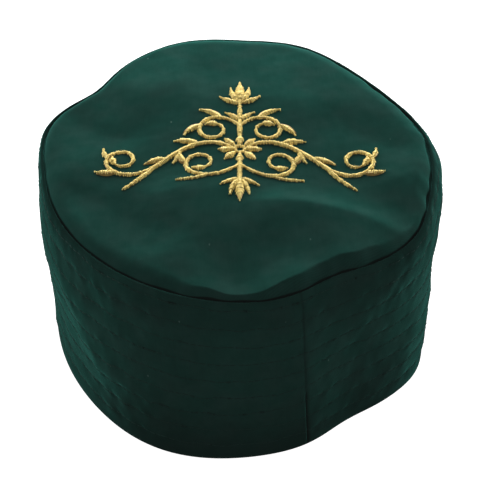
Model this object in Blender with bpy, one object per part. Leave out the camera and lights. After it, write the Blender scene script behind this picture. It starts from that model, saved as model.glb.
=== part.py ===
"""A kufi: a round green cloth cap with a tall quilted band, a flat crown and gold stitching.

Metres, +Z up. The cap rests on its rim, with its front towards -Y.
The origin is under the middle of the cap, on the surface that it stands on.
"""

import math

import bmesh
import bpy
from mathutils import Vector
from mathutils.bvhtree import BVHTree

MM = 0.001

# Driving sizes in millimetres
HEAD_RADIUS = 91.0
BAND_THICKNESS = 3.0
SEAM_HEIGHT = 103.5
SHOULDER_HEIGHT = 11.0
LIP_WIDTH = 0.8
RIM_ROUNDING = 0.9
QUILT_PITCH = 11.2
QUILT_PUFF = 0.4
LOWEST_STITCH_ROW = 10.7

CROWN_THICKNESS = 1.8
CROWN_RISE = 3.4
CROWN_DOME = 1.6
EDGE_ROLL = 9.0
EDGE_START = 1.0
HEM_DEPTH = 1.5
SEAM_GAP = 0.3

RELIEF = 0.8
STITCH_GAP = 0.42
STROKE_STEP = 3.2
LEAF_TIP = 0.6

# Columns round the ring, shared by the band and the crown so that their edges run side by side
COLUMNS = 80

# Where the ring's own axis lies, so that the origin is under the middle of the whole cap
AXIS_X = 0.4
AXIS_Y = -0.75

# Lobes and dents of the ring: azimuths and widths in degrees from +X, depths in millimetres outwards
LOBES = (
    # name, azimuth at seam, azimuth at rim, width, depth at seam, depth at rim
    ("front swell", -92, -112, 24, 1.0, 4.2),
    ("front right dent", -62, -55, 13, -5.7, -4.7),
    ("right corner", -32, -25, 11, 2.2, 3.0),
    ("right flat", 2, 8, 23, -3.0, 0.4),
    ("back right flat", 37, 37, 20, -4.0, -1.0),
    ("back right corner", 73, 72, 14, 3.7, 1.5),
    ("back left corner", 108, 110, 20, 6.5, 1.6),
    ("back left dent", 143, 140, 10, -3.8, -2.4),
    ("left corner", 166, 173, 13, 4.1, 1.4),
)

# Soft swellings of the padded wall: azimuth and width in degrees, heights in millimetres
SWELLS = (
    # name, azimuth, height, width, half height, depth
    ("right shoulder", 5, 81, 22, 21, 5.9),
    ("right edge", 8, 96, 14, 7, 1.8),
    ("right elbow", -21, 36, 17, 29, 2.1),
    ("left knee", -147, 31, 24, 26, 0.8),
    ("left shoulder", 177, 66, 27, 20, 2.1),
)

# Slanting folds across the wall, each a ridge or a furrow between a high and a low end
BUCKLES = (
    # name, azimuth high, height high, azimuth low, height low, half width, depth
    ("left ridge", -152, 92, -127, 32, 5.0, 1.0),
    ("left furrow", -142, 92, -117, 32, 6.0, -0.9),
)

# Folds of the crown: middle in millimetres from the axis, slant in degrees from +X
CROWN_FOLDS = (
    # name, x, y, slant, half length, half width, height
    ("front trough", -10, -57, 4, 40, 13, -1.5),
    ("front right hollow", 45, -62, 38, 26, 12, -2.4),
    ("front right ridge", 44, -38, -14, 30, 6, 1.3),
    ("left crease", -76, -25, 40, 15, 4, -0.7),
    ("back left crease", -61, 53, 46, 20, 5, -1.2),
    ("right hollow", 50, 28, -20, 30, 14, -0.8),
    ("left puff", -62, -50, -42, 16, 8, 0.8),
)

# The ornament's right half: lengths in millimetres, headings in degrees from +X,
# bends in degrees per millimetre, anticlockwise if positive
FREE_STEMS = (
    # name, x, y, heading, length, bend at start, bend at end, start, middle and end width
    ("scroll", 3.0, 2.0, 54, 46, -5.2, 1.2, 2.2, 3.2, 2.6),
    ("high curl", 0.0, 18.5, 56, 50, -3.2, -12.6, 2.0, 2.6, 1.4),
    ("low curl", 0.0, -9.5, -42, 56, 0.6, 13.0, 2.0, 2.6, 1.4),
    ("high stem", 0.0, 6.0, 90, 30, 0.0, 0.0, 2.2, 2.6, 2.0),
    ("low stem", 0.0, -2.0, -90, 20, 0.0, 0.0, 2.2, 2.6, 2.0),
)
SIDE_STEMS = (
    # name, parent, share along it, turn, length, bend at start, bend at end, three widths
    ("outer curl", "scroll", 1.0, 0, 58, 2.4, 13.0, 2.6, 2.6, 1.4),
    ("tip", "scroll", 0.94, -16, 21, 0.6, 0.9, 2.4, 2.8, 0.9),
    ("frond", "low curl", 0.30, -30, 15, 3.5, 1.0, 1.8, 2.0, 0.9),
)
LEAVES = (
    # parent, share along it, turn, length, width, bend
    ("scroll", 0.40, 50, 12, 4.4, -3.5),
    ("scroll", 0.60, -48, 9, 3.4, 3.5),
    ("scroll", 0.78, 46, 11, 4.0, -3.5),
    ("outer curl", 0.30, -52, 9, 3.6, 3.5),
    ("outer curl", 0.50, -52, 8, 3.4, 4.0),
    ("outer curl", 1.0, 0, 6, 4.2, 8.0),
    ("high curl", 0.22, 44, 12, 3.8, -4.0),
    ("high curl", 0.46, 50, 10, 3.6, -4.0),
    ("high curl", 1.0, 0, 6, 4.2, -8.0),
    ("low curl", 0.58, -48, 9, 3.4, 4.0),
    ("low curl", 1.0, 0, 6, 4.2, 8.0),
    ("high stem", 0.55, 38, 9, 3.0, 3.0),
)
PALMETTES = (
    # name, y, heading, size
    ("finial", 35, 90, 1.0),
    ("pendant", -20, -90, 0.9),
)
PALMETTE_LEAVES = (
    # turn from the axis, length, width, bend at start, bend at end
    (0, 17, 5.6, 0.0, 0.0),
    (36, 13, 3.8, 2.0, 3.2),
    (76, 11, 3.4, 2.0, 3.2),
)
ROSETTE_Y = 2.0
ROSETTE_HOLE = 2.6
PETALS = 8
PETAL_LENGTH = 7.4
PETAL_WIDTH = 4.6
RING_RADIUS = 2.3
RING_WIDTH = 1.8


def bump(distance):
    return math.exp(-distance * distance)


def ease(share):
    """A smooth step from 0 to 1."""
    share = min(1.0, max(0.0, share))
    return share * share * (3 - 2 * share)


def turn_between(a, b):
    """The angle in degrees from b to a, the short way round."""
    return (a - b + 180) % 360 - 180


def lobe_depth(azimuth, share):
    """How far the ring stands out of a true circle, at a share of the way from rim to seam."""
    depth = 0.0
    for _, seam_at, rim_at, width, seam_depth, rim_depth in LOBES:
        middle = rim_at + (seam_at - rim_at) * share
        here = rim_depth + (seam_depth - rim_depth) * share
        depth += here * bump(turn_between(azimuth, middle) / width)
    return depth


def swell_depth(azimuth, height):
    depth = 0.0
    for _, at, middle, width, half_height, out in SWELLS:
        depth += out * bump(turn_between(azimuth, at) / width) * bump((height - middle) / half_height)
    return depth


def buckle_depth(azimuth, height):
    """Ridges and furrows along straight lines of the unrolled wall, which fade out past their ends."""
    depth = 0.0
    for _, high_at, high, low_at, low, width, out in BUCKLES:
        along = (high - height) / (high - low)
        middle = high_at + (low_at - high_at) * along
        slant = math.atan2(math.radians(low_at - high_at) * HEAD_RADIUS, high - low)
        across = math.radians(turn_between(azimuth, middle)) * HEAD_RADIUS * math.cos(slant)
        past_end = max(0.0, abs(along - 0.5) - 0.5)
        depth += out * bump(across / width) * bump(past_end * 4)
    return depth


def inner_radius(azimuth, height):
    """Radius of the band's inner face."""
    share = height / SEAM_HEIGHT
    return (
        HEAD_RADIUS
        + lobe_depth(azimuth, share)
        + swell_depth(azimuth, height)
        + buckle_depth(azimuth, height)
    )


def fold_height(x, y):
    """How far the crown's folds lift or sink a point of it, away from its edge."""
    height = 0.0
    for _, middle_x, middle_y, slant, half_length, half_width, lift in CROWN_FOLDS:
        angle = math.radians(slant)
        along = (x - middle_x) * math.cos(angle) + (y - middle_y) * math.sin(angle)
        across = (y - middle_y) * math.cos(angle) - (x - middle_x) * math.sin(angle)
        height += lift * bump(along / half_length) * bump(across / half_width)
    return height


def crown_height(azimuth, radius, edge_radius):
    """Height of the crown's upper face, which rolls down to the seam at its edge."""
    inset = edge_radius - radius
    roll = 1 - min(1.0, inset / EDGE_ROLL)
    plateau = SEAM_HEIGHT - EDGE_START + (CROWN_RISE + EDGE_START) * math.sqrt(1 - roll * roll)
    inside = max(0.0, 1 - (radius / (edge_radius - EDGE_ROLL)) ** 2)
    x = radius * math.cos(math.radians(azimuth))
    y = radius * math.sin(math.radians(azimuth))
    return plateau + CROWN_DOME * inside + fold_height(x, y) * ease(inset / EDGE_ROLL)


def material(name, colour, roughness, metallic=0.0):
    made = bpy.data.materials.new(name)
    made.use_nodes = True
    shader = made.node_tree.nodes["Principled BSDF"]
    shader.inputs["Base Color"].default_value = (*colour, 1.0)
    shader.inputs["Roughness"].default_value = roughness
    shader.inputs["Metallic"].default_value = metallic
    made.diffuse_color = (*colour, 1.0)
    return made


def add_object(name, bm, finish):
    """Puts a finished mesh in the scene, smooth except across sharp edges."""
    mesh = bpy.data.meshes.new(name)
    bm.to_mesh(mesh)
    bm.free()
    mesh.shade_smooth()
    mesh.set_sharp_from_angle(angle=math.radians(40))
    mesh.materials.append(finish)
    made = bpy.data.objects.new(name, mesh)
    bpy.context.scene.collection.objects.link(made)
    return made


def spun(profile, closed):
    """A profile of (radius, height) points in millimetres, turned once round the axis."""
    bm = bmesh.new()
    corners = [bm.verts.new((radius, 0, height)) for radius, height in profile]
    pairs = list(zip(corners, corners[1:]))
    if closed:
        pairs.append((corners[-1], corners[0]))
    edges = [bm.edges.new(pair) for pair in pairs]
    bmesh.ops.spin(
        bm,
        geom=corners + edges,
        cent=(0, 0, 0),
        axis=(0, 0, 1),
        angle=math.tau,
        steps=COLUMNS,
        use_merge=True,
    )
    bmesh.ops.remove_doubles(bm, verts=bm.verts, dist=1e-4)
    bmesh.ops.recalc_face_normals(bm, faces=bm.faces)
    return bm


def band_profile():
    """Distance out from the inner face, and height: up the quilted outside, over the lip, down the inside."""
    points = [(BAND_THICKNESS - RIM_ROUNDING, 0.0), (BAND_THICKNESS - 0.3 * RIM_ROUNDING, 0.3 * RIM_ROUNDING)]
    points.append((BAND_THICKNESS, RIM_ROUNDING + 1.0))
    shoulder = SEAM_HEIGHT - SHOULDER_HEIGHT
    row = LOWEST_STITCH_ROW
    while row < shoulder:
        points.append((BAND_THICKNESS - QUILT_PUFF, row))
        crest = row + QUILT_PITCH / 2
        if crest < shoulder:
            points.append((BAND_THICKNESS, crest))
        row += QUILT_PITCH
    for turn in (12, 35, 58, 78):
        out = LIP_WIDTH + (BAND_THICKNESS - LIP_WIDTH) * math.cos(math.radians(turn))
        points.append((out, shoulder + SHOULDER_HEIGHT * math.sin(math.radians(turn))))
    points += [(LIP_WIDTH, SEAM_HEIGHT), (0.0, SEAM_HEIGHT - 0.3)]
    inside_heights = [SEAM_HEIGHT - HEM_DEPTH - 3, 75, 50, 25, RIM_ROUNDING]
    points += [(0.0, height) for height in inside_heights]
    points.append((RIM_ROUNDING, 0.0))
    return points


def band(finish):
    """One padded strip, shaped by the lobes, swells and buckles of the worn wall."""
    bm = spun([(HEAD_RADIUS + out, height) for out, height in band_profile()], closed=True)
    for corner in bm.verts:
        azimuth = math.degrees(math.atan2(corner.co.y, corner.co.x))
        out = math.hypot(corner.co.x, corner.co.y) - HEAD_RADIUS
        radius = inner_radius(azimuth, corner.co.z) + out
        place_on_ring(corner, azimuth, radius, corner.co.z)
    return add_object("band", bm, finish)


def place_on_ring(corner, azimuth, radius, height):
    corner.co.x = (radius * math.cos(math.radians(azimuth)) + AXIS_X) * MM
    corner.co.y = (radius * math.sin(math.radians(azimuth)) + AXIS_Y) * MM
    corner.co.z = height * MM


def crown_profile():
    """Distance in from the crown's edge, and drop below the seam: from the middle out and down the hem."""
    flat = HEAD_RADIUS - EDGE_ROLL
    points = [(HEAD_RADIUS - share * flat, 0.0) for share in (0.0, 0.18, 0.36, 0.54, 0.7, 0.85)]
    points += [(share * EDGE_ROLL, 0.0) for share in (1.0, 0.55, 0.25, 0.06)]
    return points + [(0.0, EDGE_START), (0.0, HEM_DEPTH)]


def crown(finish):
    """A thin domed disc with soft folds, whose hem is turned down inside the band."""
    bm = spun([(HEAD_RADIUS - inset, -drop) for inset, drop in crown_profile()], closed=False)
    for corner in bm.verts:
        azimuth = math.degrees(math.atan2(corner.co.y, corner.co.x))
        reach = math.hypot(corner.co.x, corner.co.y)
        height = SEAM_HEIGHT + corner.co.z
        radius = (inner_radius(azimuth, height) - SEAM_GAP) * reach / HEAD_RADIUS
        if height == SEAM_HEIGHT:
            height = crown_height(azimuth, radius, inner_radius(azimuth, SEAM_HEIGHT) - SEAM_GAP)
        place_on_ring(corner, azimuth, radius, height)
    made = add_object("crown", bm, finish)
    wall = made.modifiers.new("cloth and stiffener", "SOLIDIFY")
    wall.thickness = CROWN_THICKNESS * MM
    wall.offset = -1.0
    wall.use_even_offset = True
    return made


def curved_line(x, y, heading, length, bend_start, bend_end):
    """Points and headings along a line whose bend changes evenly from start to end."""
    count = max(3, round(length / STROKE_STEP))
    fine = 8
    step = length / (count * fine)
    line = [(x, y, heading)]
    for index in range(count * fine):
        share = (index + 0.5) / (count * fine)
        middle = heading + step * (bend_start + (bend_end - bend_start) * share) / 2
        x += step * math.cos(math.radians(middle))
        y += step * math.sin(math.radians(middle))
        heading = 2 * middle - heading
        if (index + 1) % fine == 0:
            line.append((x, y, heading))
    return line


def point_along(line, share):
    return line[round(share * (len(line) - 1))]


def stem_widths(count, start, middle, end):
    """Widths that swell from the start to the middle of a stem and thin out to its end."""
    widths = []
    for index in range(count):
        share = index / (count - 1)
        base = start if share < 0.5 else end
        widths.append(base + (middle - base) * math.sin(math.pi * share))
    return widths


def leaf_widths(count, width, belly):
    """Widths of a leaf from its stalk to its point; belly under 1 puts the widest place nearer the stalk."""
    shares = [index / (count - 1) for index in range(count)]
    return [max(LEAF_TIP, width * math.sin(math.pi * share**belly) ** 0.9) for share in shares]


def ornament_strokes():
    """Every stroke of the right half and of the axis, as (line, widths, whether it has a mirror twin)."""
    stems = {}
    strokes = []
    for name, x, y, heading, length, bend_start, bend_end, *widths in FREE_STEMS:
        stems[name] = curved_line(x, y, heading, length, bend_start, bend_end)
        strokes.append((stems[name], stem_widths(len(stems[name]), *widths), "stem" not in name))
    for name, parent, share, turn, length, bend_start, bend_end, *widths in SIDE_STEMS:
        x, y, heading = point_along(stems[parent], share)
        stems[name] = curved_line(x, y, heading + turn, length, bend_start, bend_end)
        strokes.append((stems[name], stem_widths(len(stems[name]), *widths), True))
    for parent, share, turn, length, width, bend in LEAVES:
        x, y, heading = point_along(stems[parent], share)
        line = curved_line(x, y, heading + turn, length, bend, bend)
        strokes.append((line, leaf_widths(len(line), width, 0.75), True))
    for _, y, heading, size in PALMETTES:
        side = math.copysign(1, heading)
        for turn, length, width, bend_start, bend_end in PALMETTE_LEAVES:
            line = curved_line(0, y, heading - side * turn, length * size, side * bend_start, side * bend_end)
            strokes.append((line, leaf_widths(len(line), width * size, 0.9), turn != 0))
    for index in range(PETALS):
        heading = 90 + index * 360 / PETALS
        x = ROSETTE_HOLE * math.cos(math.radians(heading))
        y = ROSETTE_HOLE * math.sin(math.radians(heading)) + ROSETTE_Y
        line = curved_line(x, y, heading, PETAL_LENGTH, 0, 0)
        strokes.append((line, leaf_widths(len(line), PETAL_WIDTH, 1.2), False))
    return strokes


def raise_faces(bm, faces):
    raised = bmesh.ops.extrude_face_region(bm, geom=faces)["geom"]
    corners = [item for item in raised if isinstance(item, bmesh.types.BMVert)]
    bmesh.ops.translate(bm, verts=corners, vec=(0, 0, RELIEF))


def neighbours(corner):
    return [edge.other_vert(corner) for edge in corner.link_edges]


def ribbon(bm, line, widths, side):
    """A flat stroke, drawn out from its first edge and raised to the height of the thread."""
    rails = []
    for (x, y, heading), width in zip(line, widths):
        across = Vector((-math.sin(math.radians(heading)), math.cos(math.radians(heading)), 0)) * width / 2
        rails.append([Vector((x, y, 0)) + across, Vector((x, y, 0)) - across])
    edge = bm.edges.new([bm.verts.new((side * corner.x, corner.y, 0)) for corner in rails[0]])
    left = edge.verts[0]
    faces = []
    for rail in rails[1:]:
        drawn = bmesh.ops.extrude_edge_only(bm, edges=[edge])["geom"]
        faces += [item for item in drawn if isinstance(item, bmesh.types.BMFace)]
        edge = next(item for item in drawn if isinstance(item, bmesh.types.BMEdge))
        left = next(corner for corner in edge.verts if left in neighbours(corner))
        right = edge.other_vert(left)
        left.co = (side * rail[0].x, rail[0].y, 0)
        right.co = (side * rail[1].x, rail[1].y, 0)
    raise_faces(bm, faces)


def rosette_ring(bm):
    """The round eye of the rosette, a flat ring."""
    inner = bmesh.ops.create_circle(bm, segments=16, radius=RING_RADIUS - RING_WIDTH / 2)["verts"]
    outer = bmesh.ops.create_circle(bm, segments=16, radius=RING_RADIUS + RING_WIDTH / 2)["verts"]
    edges = {edge for corner in inner + outer for edge in corner.link_edges}
    faces = bmesh.ops.bridge_loops(bm, edges=list(edges))["faces"]
    bmesh.ops.translate(bm, verts=inner + outer, vec=(0, ROSETTE_Y, 0))
    raise_faces(bm, faces)


def flat_object(name, bm, group):
    bmesh.ops.recalc_face_normals(bm, faces=bm.faces)
    mesh = bpy.data.meshes.new(name)
    bm.to_mesh(mesh)
    bm.free()
    made = bpy.data.objects.new(name, mesh)
    group.objects.link(made)
    return made


def joined_strokes():
    """One closed flat relief: every stroke is drawn by itself and joined to the rosette's eye."""
    group = bpy.data.collections.new("strokes")
    bpy.context.scene.collection.children.link(group)
    for line, widths, has_twin in ornament_strokes():
        for side in (1, -1) if has_twin else (1,):
            bm = bmesh.new()
            ribbon(bm, line, widths, side)
            flat_object("stroke", bm, group)
    bm = bmesh.new()
    rosette_ring(bm)
    eye = flat_object("eye", bm, bpy.context.scene.collection)
    union = eye.modifiers.new("join the strokes", "BOOLEAN")
    union.operation = "UNION"
    union.operand_type = "COLLECTION"
    union.collection = group
    union.solver = "MANIFOLD"
    graph = bpy.context.evaluated_depsgraph_get()
    joined = bmesh.new()
    joined.from_mesh(eye.evaluated_get(graph).to_mesh())
    for helper in [eye, *group.objects]:
        bpy.data.objects.remove(helper)
    bpy.data.collections.remove(group)
    return joined


def embroidery(finish, ground):
    """The raised gold stitching, which follows the crown's faces a little above them."""
    bm = joined_strokes()
    bmesh.ops.triangulate(bm, faces=bm.faces)
    surface = BVHTree.FromObject(ground, bpy.context.evaluated_depsgraph_get())
    for corner in bm.verts:
        above = Vector((corner.co.x + AXIS_X, corner.co.y + AXIS_Y, 2 * SEAM_HEIGHT)) * MM
        hit = surface.ray_cast(above, Vector((0, 0, -1)))[0]
        corner.co = hit + Vector((0, 0, corner.co.z + STITCH_GAP)) * MM
    return add_object("embroidery", bm, finish)


def main():
    for old in list(bpy.data.objects):
        bpy.data.objects.remove(old)
    cloth = material("green cloth", (0.022, 0.075, 0.060), 0.75)
    quilted = material("green quilted cloth", (0.018, 0.062, 0.050), 0.8)
    gold = material("gold thread", (0.58, 0.38, 0.13), 0.45)
    band(quilted)
    top = crown(cloth)
    embroidery(gold, top)


main()
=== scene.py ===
"""The dressed kufi: a quilted band, a soft crown, gold satin stitching, and the light that it is seen in.

Shapes are worked out in millimetres from the ring's own axis and become metres when a mesh is finished.
Azimuths are in degrees from +X. The cap's front is towards -Y.
"""

import math

import bmesh
import bpy
import numpy as np
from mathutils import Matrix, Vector


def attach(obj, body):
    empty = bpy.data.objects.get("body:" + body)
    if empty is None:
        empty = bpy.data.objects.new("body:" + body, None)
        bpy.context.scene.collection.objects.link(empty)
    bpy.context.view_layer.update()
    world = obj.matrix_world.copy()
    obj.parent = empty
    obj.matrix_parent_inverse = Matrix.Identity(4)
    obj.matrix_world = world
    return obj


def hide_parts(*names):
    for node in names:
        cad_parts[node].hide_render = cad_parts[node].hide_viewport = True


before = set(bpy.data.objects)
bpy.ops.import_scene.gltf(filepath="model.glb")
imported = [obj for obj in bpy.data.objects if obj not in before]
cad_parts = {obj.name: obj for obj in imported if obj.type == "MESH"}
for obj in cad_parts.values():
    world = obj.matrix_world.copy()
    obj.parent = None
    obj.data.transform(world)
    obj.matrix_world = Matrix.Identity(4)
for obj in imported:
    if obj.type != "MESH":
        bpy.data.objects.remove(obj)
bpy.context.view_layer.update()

MM = 0.001

# Sizes of the cap, in millimetres
HEAD_RADIUS = 91.0
BAND_THICKNESS = 3.0
SEAM_HEIGHT = 103.5
SHOULDER_HEIGHT = 11.0
SHOULDER_START = SEAM_HEIGHT - SHOULDER_HEIGHT
LIP_WIDTH = 0.8
RIM_ROUNDING = 0.9
CROWN_THICKNESS = 1.8
CROWN_RISE = 3.4
CROWN_DOME = 0.8
EDGE_ROLL = 9.0
EDGE_START = 1.5
HEM_TURN = 2.2
HEM_DEPTH = 4.5
HEM_SEATING = 0.1
AXIS = Vector((0.4, -0.75, 0.0))

# The groove between the crown and the band, wider along the front right
SEAM_GAP = 0.5
SEAM_UNEVENNESS = 0.35
FRONT_SEAM_GAP = 0.8
FRONT_GAP_AZIMUTH = -66
FRONT_GAP_WIDTH = 70
FRONT_GAP_SHARPNESS = 0.6

# Where the crown is drawn tight at its seam, and where its front sinks
EDGE_PULLS = (
    # azimuth, width, and by how much the edge's roll narrows
    (-91, 19, 7.2),
    (-42, 30, 5.2),
    (132, 26, 4.8),
)
FRONT_SAG = 3.5
FRONT_SAG_AZIMUTH = -91
FRONT_SAG_WIDTH = 17
FRONT_SAG_REACH = 45

# The crest of a fold: 1 is rounded, and less is sharper
FOLD_SHARPNESS = 0.75
BUCKLE_SHARPNESS = 0.6

# Quilting of the band: rows of machine stitches with a padded roll between them
ROW_PITCH = 11.2
LOWEST_ROW = 10.7
STITCH_ROWS = [LOWEST_ROW + ROW_PITCH * index for index in range(8)] + [100.2]
STITCHES_ROUND = 180
STITCH_SHIFT = 1.7
ROW_PUFF = 0.12
ROW_GROOVE = 0.07
GROOVE_WIDTH = 0.9
NEEDLE_DIMPLE = 0.12
ROW_WANDER = 0.3
PUCKER = 0.2
WALL_RIPPLE = 0.16
INSIDE_PUFF = 0.3

# The upright seam where the strip's two ends meet
SEAM_TOP_AZIMUTH = -73.5
SEAM_FOOT_AZIMUTH = -69.5
SEAM_TACK_HEIGHT = 40.0
SEAM_VALLEY = 0.18
SEAM_VALLEY_BELOW_TACK = 0.95
SEAM_RIDGE = 0.03
SEAM_RIDGE_BELOW_TACK = 0.27
SEAM_ALLOWANCE = 0.1
TACK_LIFT = 0.3

BAND_COLUMNS = 720
CROWN_COLUMNS = 360
CROWN_RINGS = 66
SEED = 7

LOBES = (
    # name, azimuth at seam, azimuth at rim, width, depth at seam, depth at rim
    ("front swell", -92, -112, 24, 1.0, 4.2),
    ("front right dent", -62, -55, 13, -6.7, -4.7),
    ("right corner", -32, -25, 11, 2.2, 3.0),
    ("right flat", 2, 8, 23, -3.0, 0.4),
    ("back right flat", 37, 37, 20, -4.0, -1.0),
    ("back right corner", 73, 72, 14, 3.7, 1.5),
    ("back left corner", 108, 110, 20, 6.5, 1.6),
    ("back left dent", 143, 140, 10, -3.8, -2.4),
    ("left corner", 166, 173, 13, 4.1, 1.4),
)
SWELLS = (
    # name, azimuth, height, width, half height, depth
    ("right shoulder", 5, 81, 22, 21, 5.9),
    ("right edge", 8, 96, 14, 7, 1.8),
    ("right elbow", -21, 36, 17, 29, 2.1),
    ("right front puff", -62, 40, 14, 30, 1.6),
    ("right front hollow", -47, 40, 20, 28, -1.1),
    ("right front collar", -62, 97, 26, 22, 2.3),
    ("right front shoulder", -58, 78, 12, 21, 2.1),
    ("left knee", -152, 40, 22, 30, -0.6),
    ("left shoulder", 177, 66, 27, 20, 2.1),
)
BUCKLES = (
    # name, azimuth high, height high, azimuth low, height low, half width on its left, on its right, depth
    ("left corner fold", -145.5, 70, -133.5, 38, 12.0, 22.0, 2.4),
)
# Folds of the crown: middle in millimetres from the axis, slant in degrees from +X, and how far each bows
CROWN_FOLDS = (
    # name, x, y, slant, half length, bow, half width behind it, half width in front of it, height
    ("left valley", -63, 24, -25, 23, -8, 16, 16, -2.8),
    ("left ridge", -36, -19, -3, 50, -8, 19, 26, 2.6),
    ("front left valley", -58, -38, -35, 28, 1, 24, 18, -3.4),
    ("front valley", 14, -80, 39, 20, 7, 26, 11, -1.6),
    ("right ridge", 41, -47.6, -17, 39, 7, 10, 23, 4.7),
    ("right edge ridge", 80, -12, 28, 20, -2, 26, 14, 2.3),
    ("back right valley", 63, 21, -42, 31, -8, 14, 26, -2.8),
    ("back left puff", -42, 54, 15, 20, -7, 20, 22, 2.7),
    ("front right puff", 41, -80, 38, 26, 0, 22, 14, 4.6),
    ("front left crease", -34, -56, 49, 12, -1, 14, 7, -1.1),
    ("left dip", -36, -6, -43, 16, -5, 15, 26, -1.6),
    ("back rise", 24, 36, -6, 50, 2, 26, 26, 2.3),
    ("front lip", 2, -90, 0, 24, 0, 12, 10, 2.6),
    ("front right fall", 62, -64, 40, 36, 0, 42, 30, -3.5),
)

# The ornament's right half: lengths in millimetres, headings in degrees from +X,
# bends in degrees per millimetre, anticlockwise if positive
FREE_STEMS = (
    # name, x, y, heading, length, bend at start, bend at end, start, middle and end width
    ("scroll", 3.0, 2.0, 54, 46, -5.2, 1.2, 1.5, 2.5, 2.0),
    ("high curl", 0.0, 18.5, 56, 50, -3.2, -12.6, 1.4, 2.0, 1.1),
    ("low curl", 0.0, -9.5, -42, 56, 0.6, 13.0, 1.4, 2.0, 1.1),
    ("high stem", 0.0, 6.0, 90, 30, 0.0, 0.0, 1.7, 2.0, 1.5),
    ("low stem", 0.0, -2.0, -90, 20, 0.0, 0.0, 1.7, 2.0, 1.5),
)
SIDE_STEMS = (
    # name, parent, share along it, turn, length, bend at start, bend at end, three widths
    ("outer curl", "scroll", 1.0, 0, 58, 2.4, 13.0, 2.0, 2.0, 1.1),
    ("tip", "scroll", 0.94, -16, 21, 0.6, 0.9, 1.8, 2.1, 0.8),
    ("frond", "low curl", 0.30, -30, 15, 3.5, 1.0, 1.3, 1.6, 0.8),
)
LEAVES = (
    # parent, share along it, turn, length, width, bend
    ("scroll", 0.40, 50, 12, 3.5, -3.5),
    ("scroll", 0.60, -48, 9, 2.7, 3.5),
    ("scroll", 0.78, 46, 11, 3.2, -3.5),
    ("outer curl", 0.30, -52, 9, 2.9, 3.5),
    ("outer curl", 0.50, -52, 8, 2.7, 4.0),
    ("outer curl", 1.0, 0, 6, 3.4, 8.0),
    ("high curl", 0.22, 44, 12, 3.0, -4.0),
    ("high curl", 0.46, 50, 10, 2.9, -4.0),
    ("high curl", 1.0, 0, 6, 3.4, -8.0),
    ("low curl", 0.58, -48, 9, 2.7, 4.0),
    ("low curl", 1.0, 0, 6, 3.4, 8.0),
    ("high stem", 0.55, 38, 9, 2.4, 3.0),
)
PALMETTES = (
    # name, y, heading, size
    ("finial", 35, 90, 1.0),
    ("pendant", -20, -90, 0.9),
)
PALMETTE_LEAVES = (
    # turn from the axis, length, width, bend at start, bend at end
    (0, 17, 4.6, 0.0, 0.0),
    (36, 13, 3.0, 2.0, 3.2),
    (76, 11, 2.7, 2.0, 3.2),
)
ROSETTE_Y = 2.0
ROSETTE_HOLE = 2.6
PETALS = 8
PETAL_LENGTH = 7.4
PETAL_WIDTH = 3.6
RING_RADIUS = 2.3
RING_WIDTH = 1.5
LEAF_TIP = 0.6

# Satin stitching: one thread beside another across each stroke, over a padded core
THREAD_PITCH = 0.8
THREAD_RADIUS = 0.31
SATIN_HEIGHT = 0.4
SATIN_RISE = 0.22
THREAD_OVERHANG = -0.2
THREAD_SLANT = 8
THREAD_SHARES = np.array([-1.0, -0.86, -0.45, 0.0, 0.45, 0.86, 1.0])
THREAD_ARCH = np.array([-0.12, 0.5, 0.92, 1.0, 0.92, 0.5, -0.12])
CORE_STEP = 1.2
CORE_DEPTH = 0.12
CORE_SHARES = np.array([-1.0, -0.82, -0.4, 0.0, 0.4, 0.82, 1.0])
CORE_ARCH = np.array([-0.15, 0.42, 0.86, 0.95, 0.86, 0.42, -0.15])

# A machine stitch: shares of its pitch along it, and heights over the cloth in millimetres
STITCH_SHARES = np.array([-0.46, -0.34, 0.0, 0.34, 0.46])
STITCH_ARCH = np.array([-0.3, 0.06, 0.1, 0.06, -0.3])
STITCH_RADIUS = 0.19

# Colours, the brighter one first where there are two
QUILTED_GREEN = (0.0075, 0.0412, 0.0321)
SMOOTH_GREEN = (0.0075, 0.0422, 0.0331)
SEWING_GREEN = (0.0075, 0.0385, 0.0300)
GOLD_YARN = ((0.98, 0.79, 0.27), (0.66, 0.49, 0.13))
# The padding under the threads is a real part, coloured darker than the yarn as painted shade in the gaps
# between threads
GOLD_PADDING_PAINTED_SHADE = ((0.34, 0.22, 0.05), (0.22, 0.13, 0.03))
LINT_GREY = (0.10, 0.17, 0.15, 1)
GREYED_TINT = (1.45, 0.97, 1.01, 1)

# The cloth's surface
CLOUDINESS = 0.3
MOTTLING = 0.5
LINT_SHARE = 0.05
WEAVE_RELIEF = 0.04
NIPS_TO_A_METRE = 260
NIP_WIDTH = 0.6
# Painted shadow in the nips, and in the upright seam's crease below and above its tack
NIP_PAINTED_SHADE = 0.75
PUCKER_REACH = 2.4
CREASE_PAINTED_SHADES = (0.85, 0.4)

# Painted shade on the cloth: from and to, in metres, and the share of its colour that is kept at each
# Painted shade: the wall's cloth darker towards the rim
PAINTED_SHADE_AT_FOOT = (0.0, 0.05, 0.52, 1.0)
# Painted shade: the wall's cloth darker just under the seam
PAINTED_COLLAR_SHADE = (0.08, 0.092, 1.0, 0.85)
# Painted shade of the seam's groove, on the crown's cloth below the seam
PAINTED_GROOVE_SHADE = (0.1028, 0.1033, 0.3, 1.0)
# At the temples the painted collar shade takes a further share: by distance to the side, times a share by
# height
TEMPLE_SIDES = (0.05, 0.085, 0.0, -0.4)
TEMPLE_HEIGHTS = (0.055, 0.088, 0.0, 1.0)


def bump(distance):
    return np.exp(-np.square(distance))


def ease(share):
    """A smooth step from 0 to 1."""
    share = np.clip(share, 0.0, 1.0)
    return share * share * (3 - 2 * share)


def turn_between(a, b):
    """The angle in degrees from b to a, the short way round."""
    return (a - b + 180) % 360 - 180


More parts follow.
